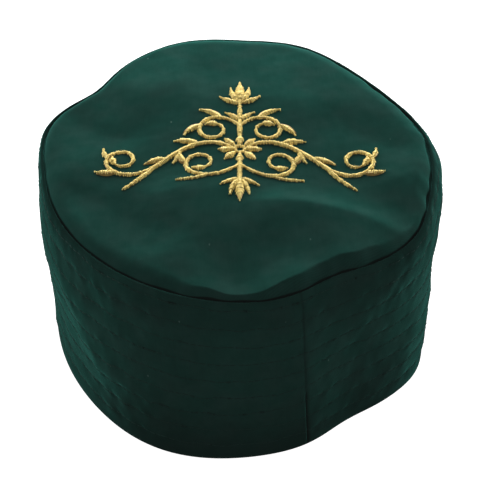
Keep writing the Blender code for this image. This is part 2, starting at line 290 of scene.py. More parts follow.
def ripples(seed, azimuth, fewest, most, count=9):
    """A smooth uneven wave round the ring, about -1 to 1, with fewest to most crests in a turn."""
    draw = np.random.default_rng(SEED + seed)
    total = np.zeros_like(azimuth)
    for crests in draw.integers(fewest, most + 1, count):
        total += draw.uniform(0.5, 1.0) * np.cos(np.radians(azimuth) * crests + draw.uniform(0, math.tau))
    return total / math.sqrt(count * 0.75)


def drift(seed, across, up, wavelengths, count=10):
    """A smooth uneven surface over a plane, about -1 to 1, with the given shortest and longest waves."""
    draw = np.random.default_rng(SEED + seed)
    total = np.zeros_like(across)
    for _ in range(count):
        heading = draw.uniform(0, math.tau)
        wave = math.tau / draw.uniform(*wavelengths)
        along = across * math.cos(heading) + up * math.sin(heading)
        total += np.cos(wave * along + draw.uniform(0, math.tau))
    return total / math.sqrt(count)


def lobe_depth(azimuth, share):
    """How far the ring stands out of a true circle, at a share of the way from rim to seam."""
    depth = 0.0
    for _, seam_at, rim_at, width, seam_depth, rim_depth in LOBES:
        middle = rim_at + (seam_at - rim_at) * share
        here = rim_depth + (seam_depth - rim_depth) * share
        depth = depth + here * bump(turn_between(azimuth, middle) / width)
    return depth


def swell_depth(azimuth, height):
    depth = 0.0
    for _, at, middle, width, half_height, out in SWELLS:
        depth = depth + out * bump(turn_between(azimuth, at) / width) * bump((height - middle) / half_height)
    return depth


def buckle_depth(azimuth, height):
    """Folds along straight lines of the unrolled wall, which fade out past their ends."""
    depth = 0.0
    for _, high_at, high, low_at, low, left, right, out in BUCKLES:
        along = (high - height) / (high - low)
        middle = high_at + (low_at - high_at) * along
        slant = math.atan2(math.radians(low_at - high_at) * HEAD_RADIUS, high - low)
        across = np.radians(turn_between(azimuth, middle)) * HEAD_RADIUS * math.cos(slant)
        past_end = np.maximum(0.0, abs(along - 0.5) - 0.5)
        reach = np.abs(across) / np.where(across > 0, right, left)
        depth = depth + out * bump(reach**BUCKLE_SHARPNESS) * bump(past_end * 3)
    return depth


def inner_radius(azimuth, height):
    """Radius of the band's inner face, before its quilting."""
    ring = HEAD_RADIUS + lobe_depth(azimuth, height / SEAM_HEIGHT)
    return ring + swell_depth(azimuth, height) + buckle_depth(azimuth, height)


def seam_azimuth(height):
    return SEAM_FOOT_AZIMUTH + (SEAM_TOP_AZIMUTH - SEAM_FOOT_AZIMUTH) * height / SEAM_HEIGHT


def seam_relief(azimuth, height):
    """The upright seam: a valley between a fine ridge and its allowance, with a tack part way up."""
    across = np.radians(turn_between(azimuth, seam_azimuth(height))) * HEAD_RADIUS
    below_tack = ease((SEAM_TACK_HEIGHT - height) / 4)
    valley = -(SEAM_VALLEY + SEAM_VALLEY_BELOW_TACK * below_tack) * bump(across / 0.5)
    ridge = (SEAM_RIDGE + SEAM_RIDGE_BELOW_TACK * below_tack) * bump((across + 1.2) / 0.6)
    allowance = SEAM_ALLOWANCE * ease(across / 1.5) * ease((9 - across) / 4)
    beside = bump((across + 1.2) / 0.9) + bump((across - 1.4) / 0.9)
    tack = TACK_LIFT * bump((height - SEAM_TACK_HEIGHT - 0.5) / 1.8) * beside
    return (valley + ridge + allowance + tack) * ease((SEAM_HEIGHT + 1 - height) / 6)


def row_wander(azimuth, index):
    """How far a stitched row strays up or down from its level."""
    return ROW_WANDER * ripples(index, azimuth, 8, 40)


def row_relief(azimuth, height, index, row):
    """One stitched row: a narrow uneven groove with a dimple at each needle hole, and puckers beside it."""
    above = height - row - row_wander(azimuth, index)
    depth = ROW_GROOVE * np.clip(0.6 + 0.8 * ripples(20 + index, azimuth, 30, 80), 0.0, 2.0)
    phase = np.radians(azimuth) * STITCHES_ROUND + STITCH_SHIFT * index
    tight = ease(ripples(80 + index, azimuth, 20, 75) / 0.8 - 0.3)
    dimple = NEEDLE_DIMPLE * tight * (0.5 + 0.5 * np.cos(phase)) ** 2
    groove = -(depth + dimple) * bump(above / GROOVE_WIDTH)
    lean = above / 2.6
    puckers = PUCKER * ripples(40 + index, azimuth, 45, 110) * lean * bump(lean)
    sag = PUCKER * ripples(60 + index, azimuth, 25, 60) * bump(above / 3.4)
    return groove + puckers + sag


def quilting(azimuth, height):
    """How far the outer face stands in or out of the plain wall because of its stitching."""
    phase = (height - LOWEST_ROW) / ROW_PITCH
    roll = np.abs(np.sin(math.pi * phase)) ** 0.8
    relief = -ROW_PUFF * (1 - roll) * ease((SHOULDER_START + 6 - height) / 8)
    for index, row in enumerate(STITCH_ROWS):
        relief = relief + row_relief(azimuth, height, index, row)
    around = np.radians(azimuth) * HEAD_RADIUS
    fade = ease(np.abs(turn_between(azimuth, 180)) / 8)
    ripple = WALL_RIPPLE * drift(90, around, height * 2.2, (18, 45)) * fade
    return relief + ripple + seam_relief(azimuth, height)


def wall_out(height):
    """Distance from the inner face to the outer one, which rolls in over the shoulder to the lip."""
    turned = np.clip((height - SHOULDER_START) / SHOULDER_HEIGHT, 0.0, 1.0)
    return LIP_WIDTH + (BAND_THICKNESS - LIP_WIDTH) * np.sqrt(1 - turned * turned)


def ring_points(azimuth, radius, height):
    """Points round the ring's axis, as rows of x, y and z in millimetres."""
    turned = np.radians(azimuth)
    return np.stack([radius * np.cos(turned), radius * np.sin(turned), height + 0 * radius], axis=-1)


def outer_points(azimuth, height, lift=0.0):
    """Points on the band's outer face, or lifted off it."""
    radius = inner_radius(azimuth, height) + wall_out(height) + quilting(azimuth, height) + lift
    return ring_points(azimuth, radius, height)


def inside_relief(height):
    """How far the inner face stands in or out; it bulges in between its stitched rows."""
    phase = (height - LOWEST_ROW) / ROW_PITCH
    return -INSIDE_PUFF * np.abs(np.sin(math.pi * phase)) * ease((SHOULDER_START + 4 - height) / 6)


def fold_height(x, y):
    """How far the crown's folds lift or sink a point of it; each has a soft crest along a shallow arc."""
    height = np.zeros_like(x)
    for _, middle_x, middle_y, slant, half_length, bow, behind, before, lift in CROWN_FOLDS:
        angle = math.radians(slant)
        along = ((x - middle_x) * math.cos(angle) + (y - middle_y) * math.sin(angle)) / half_length
        across = (y - middle_y) * math.cos(angle) - (x - middle_x) * math.sin(angle) - bow * (1 - along**2)
        reach = np.abs(across) / np.where(across > 0, behind, before)
        height += lift * bump(reach**FOLD_SHARPNESS) * bump(along**2)
    return height


def edge_roll(azimuth):
    """How wide a strip of the crown rolls down to the seam."""
    pulls = (narrower * bump(turn_between(azimuth, at) / width) for at, width, narrower in EDGE_PULLS)
    return EDGE_ROLL - sum(pulls)


def crown_edge(azimuth):
    """Radius of the crown at its seam, which is drawn in a little more along the front right."""
    off = turn_between(azimuth, FRONT_GAP_AZIMUTH)
    gap = SEAM_GAP + FRONT_SEAM_GAP * bump(off / FRONT_GAP_WIDTH) ** FRONT_GAP_SHARPNESS
    return inner_radius(azimuth, SEAM_HEIGHT) - gap * (1 + SEAM_UNEVENNESS * ripples(130, azimuth, 12, 50))


def crown_height(x, y):
    """Height of the crown's upper face over a point, measured from the ring's axis."""
    azimuth = np.degrees(np.arctan2(y, x))
    radius = np.hypot(x, y)
    edge = crown_edge(azimuth)
    inset = edge - radius
    off = turn_between(azimuth, FRONT_SAG_AZIMUTH)
    sag = FRONT_SAG * bump(off / FRONT_SAG_WIDTH) * (1 - ease(inset / FRONT_SAG_REACH))
    roll = 1 - np.clip(inset / edge_roll(azimuth), 0.0, 1.0)
    plateau = SEAM_HEIGHT - EDGE_START + (CROWN_RISE - sag + EDGE_START) * np.sqrt(1 - roll * roll)
    inside = np.maximum(0.0, 1 - (radius / (edge - EDGE_ROLL)) ** 2)
    soft = 0.16 * drift(120, x, y, (16, 40)) + 0.03 * drift(121, x, y, (6, 14))
    return plateau + CROWN_DOME * inside + (fold_height(x, y) + soft) * ease(inset / edge_roll(azimuth))


def lathe(profile, columns, closed):
    """A profile of (radius, height) points in millimetres, turned once round the axis."""
    rows = len(profile) if closed else len(profile) - 1
    bm = bmesh.new()
    bmesh.ops.create_grid(bm, x_segments=columns, y_segments=rows, size=1)
    for corner in bm.verts:
        radius, height = profile[round((corner.co.y + 1) / 2 * rows) % len(profile)]
        angle = math.tau * round((corner.co.x + 1) / 2 * columns) / columns
        corner.co = (radius * math.cos(angle), radius * math.sin(angle), height)
    bmesh.ops.remove_doubles(bm, verts=[corner for corner in bm.verts if corner.is_boundary], dist=1e-4)
    bmesh.ops.recalc_face_normals(bm, faces=bm.faces)
    return bm


def new_piece(name, mesh, finish):
    """Puts a finished mesh on the cap's one body, with its material."""
    mesh.materials.clear()
    mesh.materials.append(finish)
    mesh.shade_smooth()
    piece = bpy.data.objects.new(name, mesh)
    bpy.context.scene.collection.objects.link(piece)
    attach(piece, "root")
    return piece


def mesh_of(name, bm):
    mesh = bpy.data.meshes.new(name)
    bm.to_mesh(mesh)
    bm.free()
    return mesh


def read_corners(mesh):
    corners = np.zeros(len(mesh.vertices) * 3)
    mesh.vertices.foreach_get("co", corners)
    return corners.reshape(-1, 3)


def write_corners(mesh, points):
    """Sets the corners from millimetres round the ring's axis to metres in the cap's frame."""
    placed = (points + np.array(AXIS)) * MM
    mesh.vertices.foreach_set("co", placed.ravel())
    mesh.update()


def lay_out_cloth(mesh, across, up, around=None):
    """A UV map in metres of cloth, from its values at every corner; around is a closed strip's length."""
    layer = mesh.uv_layers.new(name="cloth")
    corner_of = np.zeros(len(mesh.loops), dtype=np.int64)
    mesh.loops.foreach_get("vertex_index", corner_of)
    flat = np.stack([across[corner_of], up[corner_of]], axis=-1)
    if around:
        faces = flat[:, 0].reshape(-1, 4)
        faces[faces < faces.max(axis=1, keepdims=True) - around / 2] += around
        flat[:, 0] = faces.ravel()
    layer.data.foreach_set("uv", (flat * MM).ravel())


def quilted_heights():
    """Heights for the outer face's corners, close together at each stitched row."""
    steps = (-2.9, -1.7, -0.9, -0.4, 0.0, 0.4, 0.9, 1.7, 2.9)
    heights = [RIM_ROUNDING + 0.5, 2.6, 4.2, 5.8]
    for row in STITCH_ROWS[:-1]:
        heights += [row + step for step in steps]
        heights.append(row + ROW_PITCH / 2)
    return heights


def band_profile():
    """Distance out from the inner face and height: up the outside, over the lip, down the inside."""
    points = []
    for turn in (0, 22, 45, 68, 90):
        out = BAND_THICKNESS - RIM_ROUNDING * (1 - math.sin(math.radians(turn)))
        points.append((out, RIM_ROUNDING * (1 - math.cos(math.radians(turn)))))
    points += [(BAND_THICKNESS, height) for height in quilted_heights() if height < SHOULDER_START]
    above_row = [STITCH_ROWS[-1] + step for step in (-5.6, -4.0, -2.6, -1.7, -1.0, -0.5, 0.0, 0.5, 1.0, 1.6)]
    points += [(float(wall_out(height)), height) for height in [SHOULDER_START + 0.6, *above_row]]
    for turn in (66, 72, 78, 84):
        out = LIP_WIDTH + (BAND_THICKNESS - LIP_WIDTH) * math.cos(math.radians(turn))
        points.append((out, SHOULDER_START + SHOULDER_HEIGHT * math.sin(math.radians(turn))))
    lip = ((LIP_WIDTH, 0.0), (0.5, 0.06), (0.2, -0.02), (0.0, -0.3))
    points += [(out, SEAM_HEIGHT + above) for out, above in lip]
    inside = [100.0, 96.5, 93.0]
    for row in reversed(STITCH_ROWS[:-1]):
        inside += [row, row - 2.6, row - ROW_PITCH + 2.6]
    points += [(0.0, height) for height in inside if 2 * RIM_ROUNDING < height]
    points += [(0.0, RIM_ROUNDING), (0.3 * RIM_ROUNDING, 0.3 * RIM_ROUNDING), (RIM_ROUNDING, 0.0)]
    return points


def gathered_azimuth(azimuth, height):
    """Draws the columns together beside the upright seam and leans them along it."""
    middle = (SEAM_TOP_AZIMUTH + SEAM_FOOT_AZIMUTH) / 2
    off = turn_between(azimuth, middle)
    drawn = off * (1 - 0.65 * bump(off / 3))
    lean = (seam_azimuth(height) - middle) * bump(off / 20)
    return turn_between(middle + drawn + lean, 0)


def band(finish):
    """The quilted strip: outside, folded top edge, inside and rim in one closed wall."""
    bm = lathe([(HEAD_RADIUS + out, height) for out, height in band_profile()], BAND_COLUMNS, closed=True)
    mesh = mesh_of("quilted band", bm)
    corners = read_corners(mesh)
    height = corners[:, 2]
    azimuth = gathered_azimuth(np.degrees(np.arctan2(corners[:, 1], corners[:, 0])), height)
    out = np.hypot(corners[:, 0], corners[:, 1]) - HEAD_RADIUS
    outside = np.clip(out / BAND_THICKNESS, 0.0, 1.0)
    rim = ease((height - 0.2) / 5)
    relief = quilting(azimuth, height) * outside * rim + inside_relief(height) * (1 - outside) * rim
    write_corners(mesh, ring_points(azimuth, inner_radius(azimuth, height) + out + relief, height))
    strays = (row_wander(azimuth, index) * bump((height - row) / 4) for index, row in enumerate(STITCH_ROWS))
    lay_out_cloth(mesh, np.radians(azimuth) * HEAD_RADIUS, height - sum(strays), math.tau * HEAD_RADIUS)
    return new_piece("band_cloth", mesh, finish)


def crown_profile():
    """Radius and height of the crown's upper skin, from the middle out and down its turned edge."""
    flat = HEAD_RADIUS - EDGE_ROLL
    points = [(flat * index / CROWN_RINGS, SEAM_HEIGHT) for index in range(CROWN_RINGS)]
    for turn in range(0, 90, 5):
        points.append((HEAD_RADIUS - EDGE_ROLL * (1 - math.sin(math.radians(turn))), SEAM_HEIGHT))
    return points + [(HEAD_RADIUS, SEAM_HEIGHT - below) for below in (EDGE_START, HEM_TURN, HEM_DEPTH)]


def crown(finish):
    """A domed disc of cloth with soft folds, whose edge rolls down to a hem seated against the wall."""
    mesh = mesh_of("crown", lathe(crown_profile(), CROWN_COLUMNS, closed=False))
    corners = read_corners(mesh)
    azimuth = np.degrees(np.arctan2(corners[:, 1], corners[:, 0]))
    reach = np.hypot(corners[:, 0], corners[:, 1]) / HEAD_RADIUS
    points = ring_points(azimuth, crown_edge(azimuth) * reach, corners[:, 2])
    top = corners[:, 2] == SEAM_HEIGHT
    points[top, 2] = crown_height(points[top, 0], points[top, 1])
    hem = corners[:, 2] < SEAM_HEIGHT - EDGE_START - 0.1
    side, level = azimuth[hem], corners[hem, 2]
    points[hem] = ring_points(side, inner_radius(side, level) + HEM_SEATING, level)
    write_corners(mesh, points)
    lay_out_cloth(mesh, points[:, 0], points[:, 1])
    piece = new_piece("crown_cloth", mesh, finish)
    wall = piece.modifiers.new("cloth and stiffener", "SOLIDIFY")
    wall.thickness = CROWN_THICKNESS * MM
    wall.offset = -1.0
    wall.use_even_offset = True
    return piece


def curved_line(x, y, heading, length, bend_start, bend_end, step):
    """Points and headings along a line whose bend changes evenly from start to end."""
    count = max(3, round(length / step))
    fine = 8
    part = length / (count * fine)
    line = [(x, y, heading)]
    for index in range(count * fine):
        share = (index + 0.5) / (count * fine)
        middle = heading + part * (bend_start + (bend_end - bend_start) * share) / 2
        x += part * math.cos(math.radians(middle))
        y += part * math.sin(math.radians(middle))
        heading = 2 * middle - heading
        if (index + 1) % fine == 0:
            line.append((x, y, heading))
    return line


def point_along(line, share):
    return line[round(share * (len(line) - 1))]


def stem_widths(count, start, middle, end):
    """Widths that swell from the start to the middle of a stem and thin out to its end."""
    widths = []
    for index in range(count):
        share = index / (count - 1)
        base = start if share < 0.5 else end
        widths.append(base + (middle - base) * math.sin(math.pi * share))
    return widths


def leaf_widths(count, width, belly):
    """Widths of a leaf from its stalk to its point; belly under 1 puts the widest place nearer the stalk."""
    shares = [index / (count - 1) for index in range(count)]
    return [max(LEAF_TIP, width * math.sin(math.pi * share**belly) ** 0.9) for share in shares]


def ornament_strokes(step):
    """Every stroke of the right half and of the axis, as (line, widths, whether it has a mirror twin)."""
    stems = {}
    strokes = []
    for name, x, y, heading, length, bend_start, bend_end, *widths in FREE_STEMS:
        stems[name] = curved_line(x, y, heading, length, bend_start, bend_end, step)
        strokes.append((stems[name], stem_widths(len(stems[name]), *widths), "stem" not in name))
    for name, parent, share, turn, length, bend_start, bend_end, *widths in SIDE_STEMS:
        x, y, heading = point_along(stems[parent], share)
        stems[name] = curved_line(x, y, heading + turn, length, bend_start, bend_end, step)
        strokes.append((stems[name], stem_widths(len(stems[name]), *widths), True))
    for parent, share, turn, length, width, bend in LEAVES:
        x, y, heading = point_along(stems[parent], share)
        line = curved_line(x, y, heading + turn, length, bend, bend, step)
        strokes.append((line, leaf_widths(len(line), width, 0.75), True))
    for _, y, heading, size in PALMETTES:
        side = math.copysign(1, heading)
        for turn, length, width, bend_start, bend_end in PALMETTE_LEAVES:
            bends = (side * bend_start, side * bend_end)
            line = curved_line(0, y, heading - side * turn, length * size, *bends, step)
            strokes.append((line, leaf_widths(len(line), width * size, 0.9), turn != 0))
    for index in range(PETALS):
        heading = 90 + index * 360 / PETALS
        x = ROSETTE_HOLE * math.cos(math.radians(heading))
        y = ROSETTE_HOLE * math.sin(math.radians(heading)) + ROSETTE_Y
        line = curved_line(x, y, heading, PETAL_LENGTH, 0, 0, step)
        strokes.append((line, leaf_widths(len(line), PETAL_WIDTH, 1.2), False))
    bend = math.degrees(1 / RING_RADIUS)
    ring = curved_line(RING_RADIUS, ROSETTE_Y, 90, math.tau * RING_RADIUS, bend, bend, step)
    strokes.append((ring, [RING_WIDTH] * len(ring), False))
    return strokes


def whole_ornament(step):
    """The strokes of both halves, each as rows of x, y, heading and width."""
    found = []
    for line, widths, has_twin in ornament_strokes(step):
        rows = np.array([(*place, width) for place, width in zip(line, widths)])
        found.append(rows)
        if has_twin:
            found.append(rows * (-1, 1, -1, 1) + (0, 0, 180, 0))
    return found


def satin_height(width):
    """Height of the padded stitching over the crown at the middle of a stroke."""
    return SATIN_HEIGHT + SATIN_RISE * width


def tube_mesh(name, paths, radius, sides=1):
    """Many short round threads in one mesh, from an array of threads, points and coordinates."""
    curve = bpy.data.curves.new(name, "CURVE")
    curve.dimensions = "3D"
    curve.bevel_depth = radius * MM
    curve.bevel_resolution = sides
    placed = np.ones((*paths.shape[:2], 4))
    placed[..., :3] = (paths + np.array(AXIS)) * MM
    for path in placed:
        spline = curve.splines.new("POLY")
        spline.points.add(len(path) - 1)
        spline.points.foreach_set("co", path.ravel())
    holder = bpy.data.objects.new(name, curve)
    bpy.context.scene.collection.objects.link(holder)
    graph = bpy.context.evaluated_depsgraph_get()
    mesh = bpy.data.meshes.new_from_object(holder.evaluated_get(graph))
    bpy.data.objects.remove(holder)
    bpy.data.curves.remove(curve)
    return mesh


def satin_threads(finish):
    """One arched thread beside another across every stroke of the ornament."""
    draw = np.random.default_rng(SEED + 200)
    rows = np.concatenate(whole_ornament(THREAD_PITCH))
    x, y, heading, width = (column[:, None] for column in rows.T)
    turned = np.radians(heading + 90 + THREAD_SLANT + draw.uniform(-5, 5, x.shape))
    half = width / 2 + THREAD_OVERHANG + draw.uniform(-0.35, 0.35, x.shape)
    px = x + THREAD_SHARES * half * np.cos(turned)
    py = y + THREAD_SHARES * half * np.sin(turned)
    lift = THREAD_ARCH * (satin_height(width) + draw.uniform(-0.2, 0.2, x.shape))
    paths = np.stack([px, py, crown_height(px, py) + lift], axis=-1)
    mesh = tube_mesh("satin threads", paths, THREAD_RADIUS)
    return new_piece("embroidery_threads", mesh, finish)


def satin_core(finish):
    """The padding under the threads: a low rounded ribbon along every stroke."""
    bm = bmesh.new()
    for rows in whole_ornament(CORE_STEP):
        x, y, heading, width = (column[:, None] for column in rows.T)
        turned = np.radians(heading + 90)
        px = x + CORE_SHARES * width / 2 * np.cos(turned)
        py = y + CORE_SHARES * width / 2 * np.sin(turned)
        pz = crown_height(px, py) + CORE_ARCH * (satin_height(width) - CORE_DEPTH)
        add_ribbon(bm, np.stack([px, py, pz], axis=-1))
    bmesh.ops.holes_fill(bm, edges=[edge for edge in bm.edges if edge.is_boundary], sides=len(CORE_SHARES))
    bmesh.ops.recalc_face_normals(bm, faces=bm.faces)
    mesh = mesh_of("satin core", bm)
    write_corners(mesh, read_corners(mesh))
    return new_piece("embroidery_core", mesh, finish)


def add_ribbon(bm, sections):
    """A hollow ribbon with open ends through an array of sections, points round each and coordinates."""
    steps, around = len(sections) - 1, sections.shape[1]
    corners = bmesh.ops.create_grid(bm, x_segments=around, y_segments=steps, size=1)["verts"]
    for corner in corners:
        step = round((corner.co.y + 1) / 2 * steps)
        side = -round((corner.co.x + 1) / 2 * around) % around
        corner.co = sections[step, side]
    bmesh.ops.remove_doubles(bm, verts=[corner for corner in corners if corner.is_boundary], dist=1e-4)


def stitch_paths(rows, place):
    """A short thread over each stitch of the rows, with its ends drawn down into the cloth."""
    draw = np.random.default_rng(SEED + 300)
    turn = 360 / STITCHES_ROUND
    found = []
    for index, row in rows:
        uneven = draw.uniform(-0.08, 0.08, (STITCHES_ROUND, 1))
        middle = (np.arange(STITCHES_ROUND)[:, None] + 0.5 + uneven) * turn
        shift = math.degrees(STITCH_SHIFT * index / STITCHES_ROUND)
        azimuth = turn_between(middle - shift + STITCH_SHARES * turn, 0)
        height = row + row_wander(azimuth, index) + draw.uniform(-0.1, 0.1, middle.shape)
        found.append(place(azimuth, height, STITCH_ARCH))
    return np.concatenate(found)


def inner_points(azimuth, height, lift):
    """Points lifted off the band's inner face."""
    radius = inner_radius(azimuth, height) + inside_relief(height) - lift
    return ring_points(azimuth, radius, height)


def row_stitches(finish):
    """The machine stitches of every row, on the outer face and on the inner one."""
    rows = list(enumerate(STITCH_ROWS))
    outer = tube_mesh("stitches", stitch_paths(rows, outer_points), STITCH_RADIUS, 0)
    new_piece("band_stitches", outer, finish)
    inner = tube_mesh("bobbin stitches", stitch_paths(rows[:-1], inner_points), STITCH_RADIUS, 0)
    new_piece("band_inside_stitches", inner, finish)


def socket(group, name, kind, way, value=None):
    made = group.interface.new_socket(name=name, in_out=way, socket_type=kind)
    if value is not None:
        made.default_value = value
    return made


def maths(tree, operation, first, second=None, third=None):
    """A maths node fed by sockets or plain numbers; gives back its result."""
    node = tree.nodes.new("ShaderNodeMath")
    node.operation = operation
    for slot, value in zip(node.inputs, (first, second, third)):
        if isinstance(value, bpy.types.NodeSocket):
            tree.links.new(value, slot)
        elif value is not None:
            slot.default_value = value
    return node.outputs[0]


def mixed_colour(tree, share, first, second, blend="MIX"):
    node = tree.nodes.new("ShaderNodeMix")
    node.data_type = "RGBA"
    node.blend_type = blend
    for name, value in (("Factor_Float", share), ("A_Color", first), ("B_Color", second)):
        slot = next(item for item in node.inputs if item.identifier == name)
        if isinstance(value, bpy.types.NodeSocket):
            tree.links.new(value, slot)
        else:
            slot.default_value = value
    return next(item for item in node.outputs if item.identifier == "Result_Color")


def noise(tree, vector, scale, detail=2.0, roughness=0.5):
    node = tree.nodes.new("ShaderNodeTexNoise")
    node.inputs["Scale"].default_value = scale
    node.inputs["Detail"].default_value = detail
    node.inputs["Roughness"].default_value = roughness
    tree.links.new(vector, node.inputs["Vector"])
    return node.outputs["Fac"]


def stretched(tree, vector, scale, turn=0.0):
    """A vector scaled along each axis, to draw a pattern out one way."""
    node = tree.nodes.new("ShaderNodeMapping")
    node.inputs["Scale"].default_value = scale
    node.inputs["Rotation"].default_value = (0, 0, math.radians(turn))
    tree.links.new(vector, node.inputs["Vector"])
    return node.outputs["Vector"]


def shade_between(tree, value, start, end, first, last):
    """A smooth change from a first value to a last one while another value goes from start to end."""
    node = tree.nodes.new("ShaderNodeMapRange")
    node.interpolation_type = "SMOOTHSTEP"
    tree.links.new(value, node.inputs["Value"])
    for name, number in (("From Min", start), ("From Max", end), ("To Min", first), ("To Max", last)):
        node.inputs[name].default_value = number
    return node.outputs["Result"]


def parts_of(tree, vector):
    """The X, Y and Z of a vector, by name."""
    node = tree.nodes.new("ShaderNodeSeparateXYZ")
    tree.links.new(vector, node.inputs[0])
    return node.outputs


def bell(tree, reach):
    """A soft peak: 1 where reach is 0, and almost nothing past 2."""
    squared = maths(tree, "MULTIPLY", reach, reach)
    return maths(tree, "EXPONENT", maths(tree, "MULTIPLY", squared, -1.0))


def spread_of(tree, value):
    """How far a pattern between 0 and 1 is from its middle."""
    return maths(tree, "SUBTRACT", value, 0.5)


def darkened(tree, kept, colour):
    """A colour of which only a share is kept."""
    return mixed_colour(tree, kept, (0.0, 0.0, 0.0, 1), colour)


def ribs(tree, vector, pitch, turn):
    """Straight ribs of a pitch in metres across a cloth's UV map, from 0 to 1."""
    node = tree.nodes.new("ShaderNodeTexWave")
    node.bands_direction = "X"
    node.wave_profile = "SIN"
    node.inputs["Scale"].default_value = math.tau / (20 * pitch)
    node.inputs["Distortion"].default_value = 0.6
    node.inputs["Detail"].default_value = 1.0
    node.inputs["Detail Scale"].default_value = 2.0
    tree.links.new(stretched(tree, vector, (1, 1, 1), turn), node.inputs["Vector"])
    return node.outputs["Fac"]


def row_group():
    """Stitched rows and the upright seam on the UV map: nips in painted shadow where the thread is tight,
    and puckers.
    """
    group = bpy.data.node_groups.new("stitched rows", "ShaderNodeTree")
    socket(group, "Cloth", "NodeSocketVector", "INPUT")
    socket(group, "Nips", "NodeSocketFloat", "OUTPUT")
    socket(group, "Height", "NodeSocketFloat", "OUTPUT")
    start = group.nodes.new("NodeGroupInput")
    end = group.nodes.new("NodeGroupOutput")
    cloth = parts_of(group, start.outputs["Cloth"])
    around, up = cloth["X"], cloth["Y"]
    phase = maths(group, "MULTIPLY_ADD", up, 1 / (ROW_PITCH * MM), 0.5 - LOWEST_ROW / ROW_PITCH)
    off = maths(group, "SUBTRACT", maths(group, "FRACT", phase), 0.5)
    row = maths(group, "MULTIPLY", maths(group, "FLOOR", phase), 7.3)
    above_rim = maths(group, "GREATER_THAN", up, 3 * MM)

    def near_row(width):
        return bell(group, maths(group, "DIVIDE", off, width / ROW_PITCH))

    along = group.nodes.new("ShaderNodeCombineXYZ")
    group.links.new(maths(group, "MULTIPLY", around, NIPS_TO_A_METRE), along.inputs["X"])
    group.links.new(row, along.inputs["Y"])
    tension = maths(group, "SUBTRACT", noise(group, along.outputs["Vector"], 1.0, 2.0), 0.57)
    tight = maths(group, "MAXIMUM", maths(group, "MULTIPLY", tension, 10.0), 0.0)
    tight = maths(group, "MINIMUM", tight, 1.0)
    nips = maths(group, "MULTIPLY", maths(group, "MULTIPLY", tight, near_row(NIP_WIDTH)), above_rim)
    foot = math.radians(SEAM_FOOT_AZIMUTH) * HEAD_RADIUS * MM
    lean = math.radians(SEAM_TOP_AZIMUTH - SEAM_FOOT_AZIMUTH) * HEAD_RADIUS / SEAM_HEIGHT
    across = maths(group, "SUBTRACT", around, maths(group, "MULTIPLY_ADD", up, lean, foot))
    # Painted shadow along the upright seam's crease, deeper below the tack
    crease = bell(group, maths(group, "DIVIDE", across, NIP_WIDTH * MM))
    tack = SEAM_TACK_HEIGHT * MM
    depth = shade_between(group, up, tack - 2 * MM, tack, *CREASE_PAINTED_SHADES)
    nips = maths(group, "MAXIMUM", nips, maths(group, "MULTIPLY", crease, depth))
    group.links.new(nips, end.inputs["Nips"])
    folds = noise(group, stretched(group, start.outputs["Cloth"], (210, 110, 1), 25), 1.0, 2.0)
    puckers = maths(group, "MULTIPLY", spread_of(group, folds), near_row(PUCKER_REACH))
    relief = maths(group, "MULTIPLY_ADD", nips, -0.08, maths(group, "MULTIPLY", puckers, 0.6))
    group.links.new(relief, end.inputs["Height"])
    return group


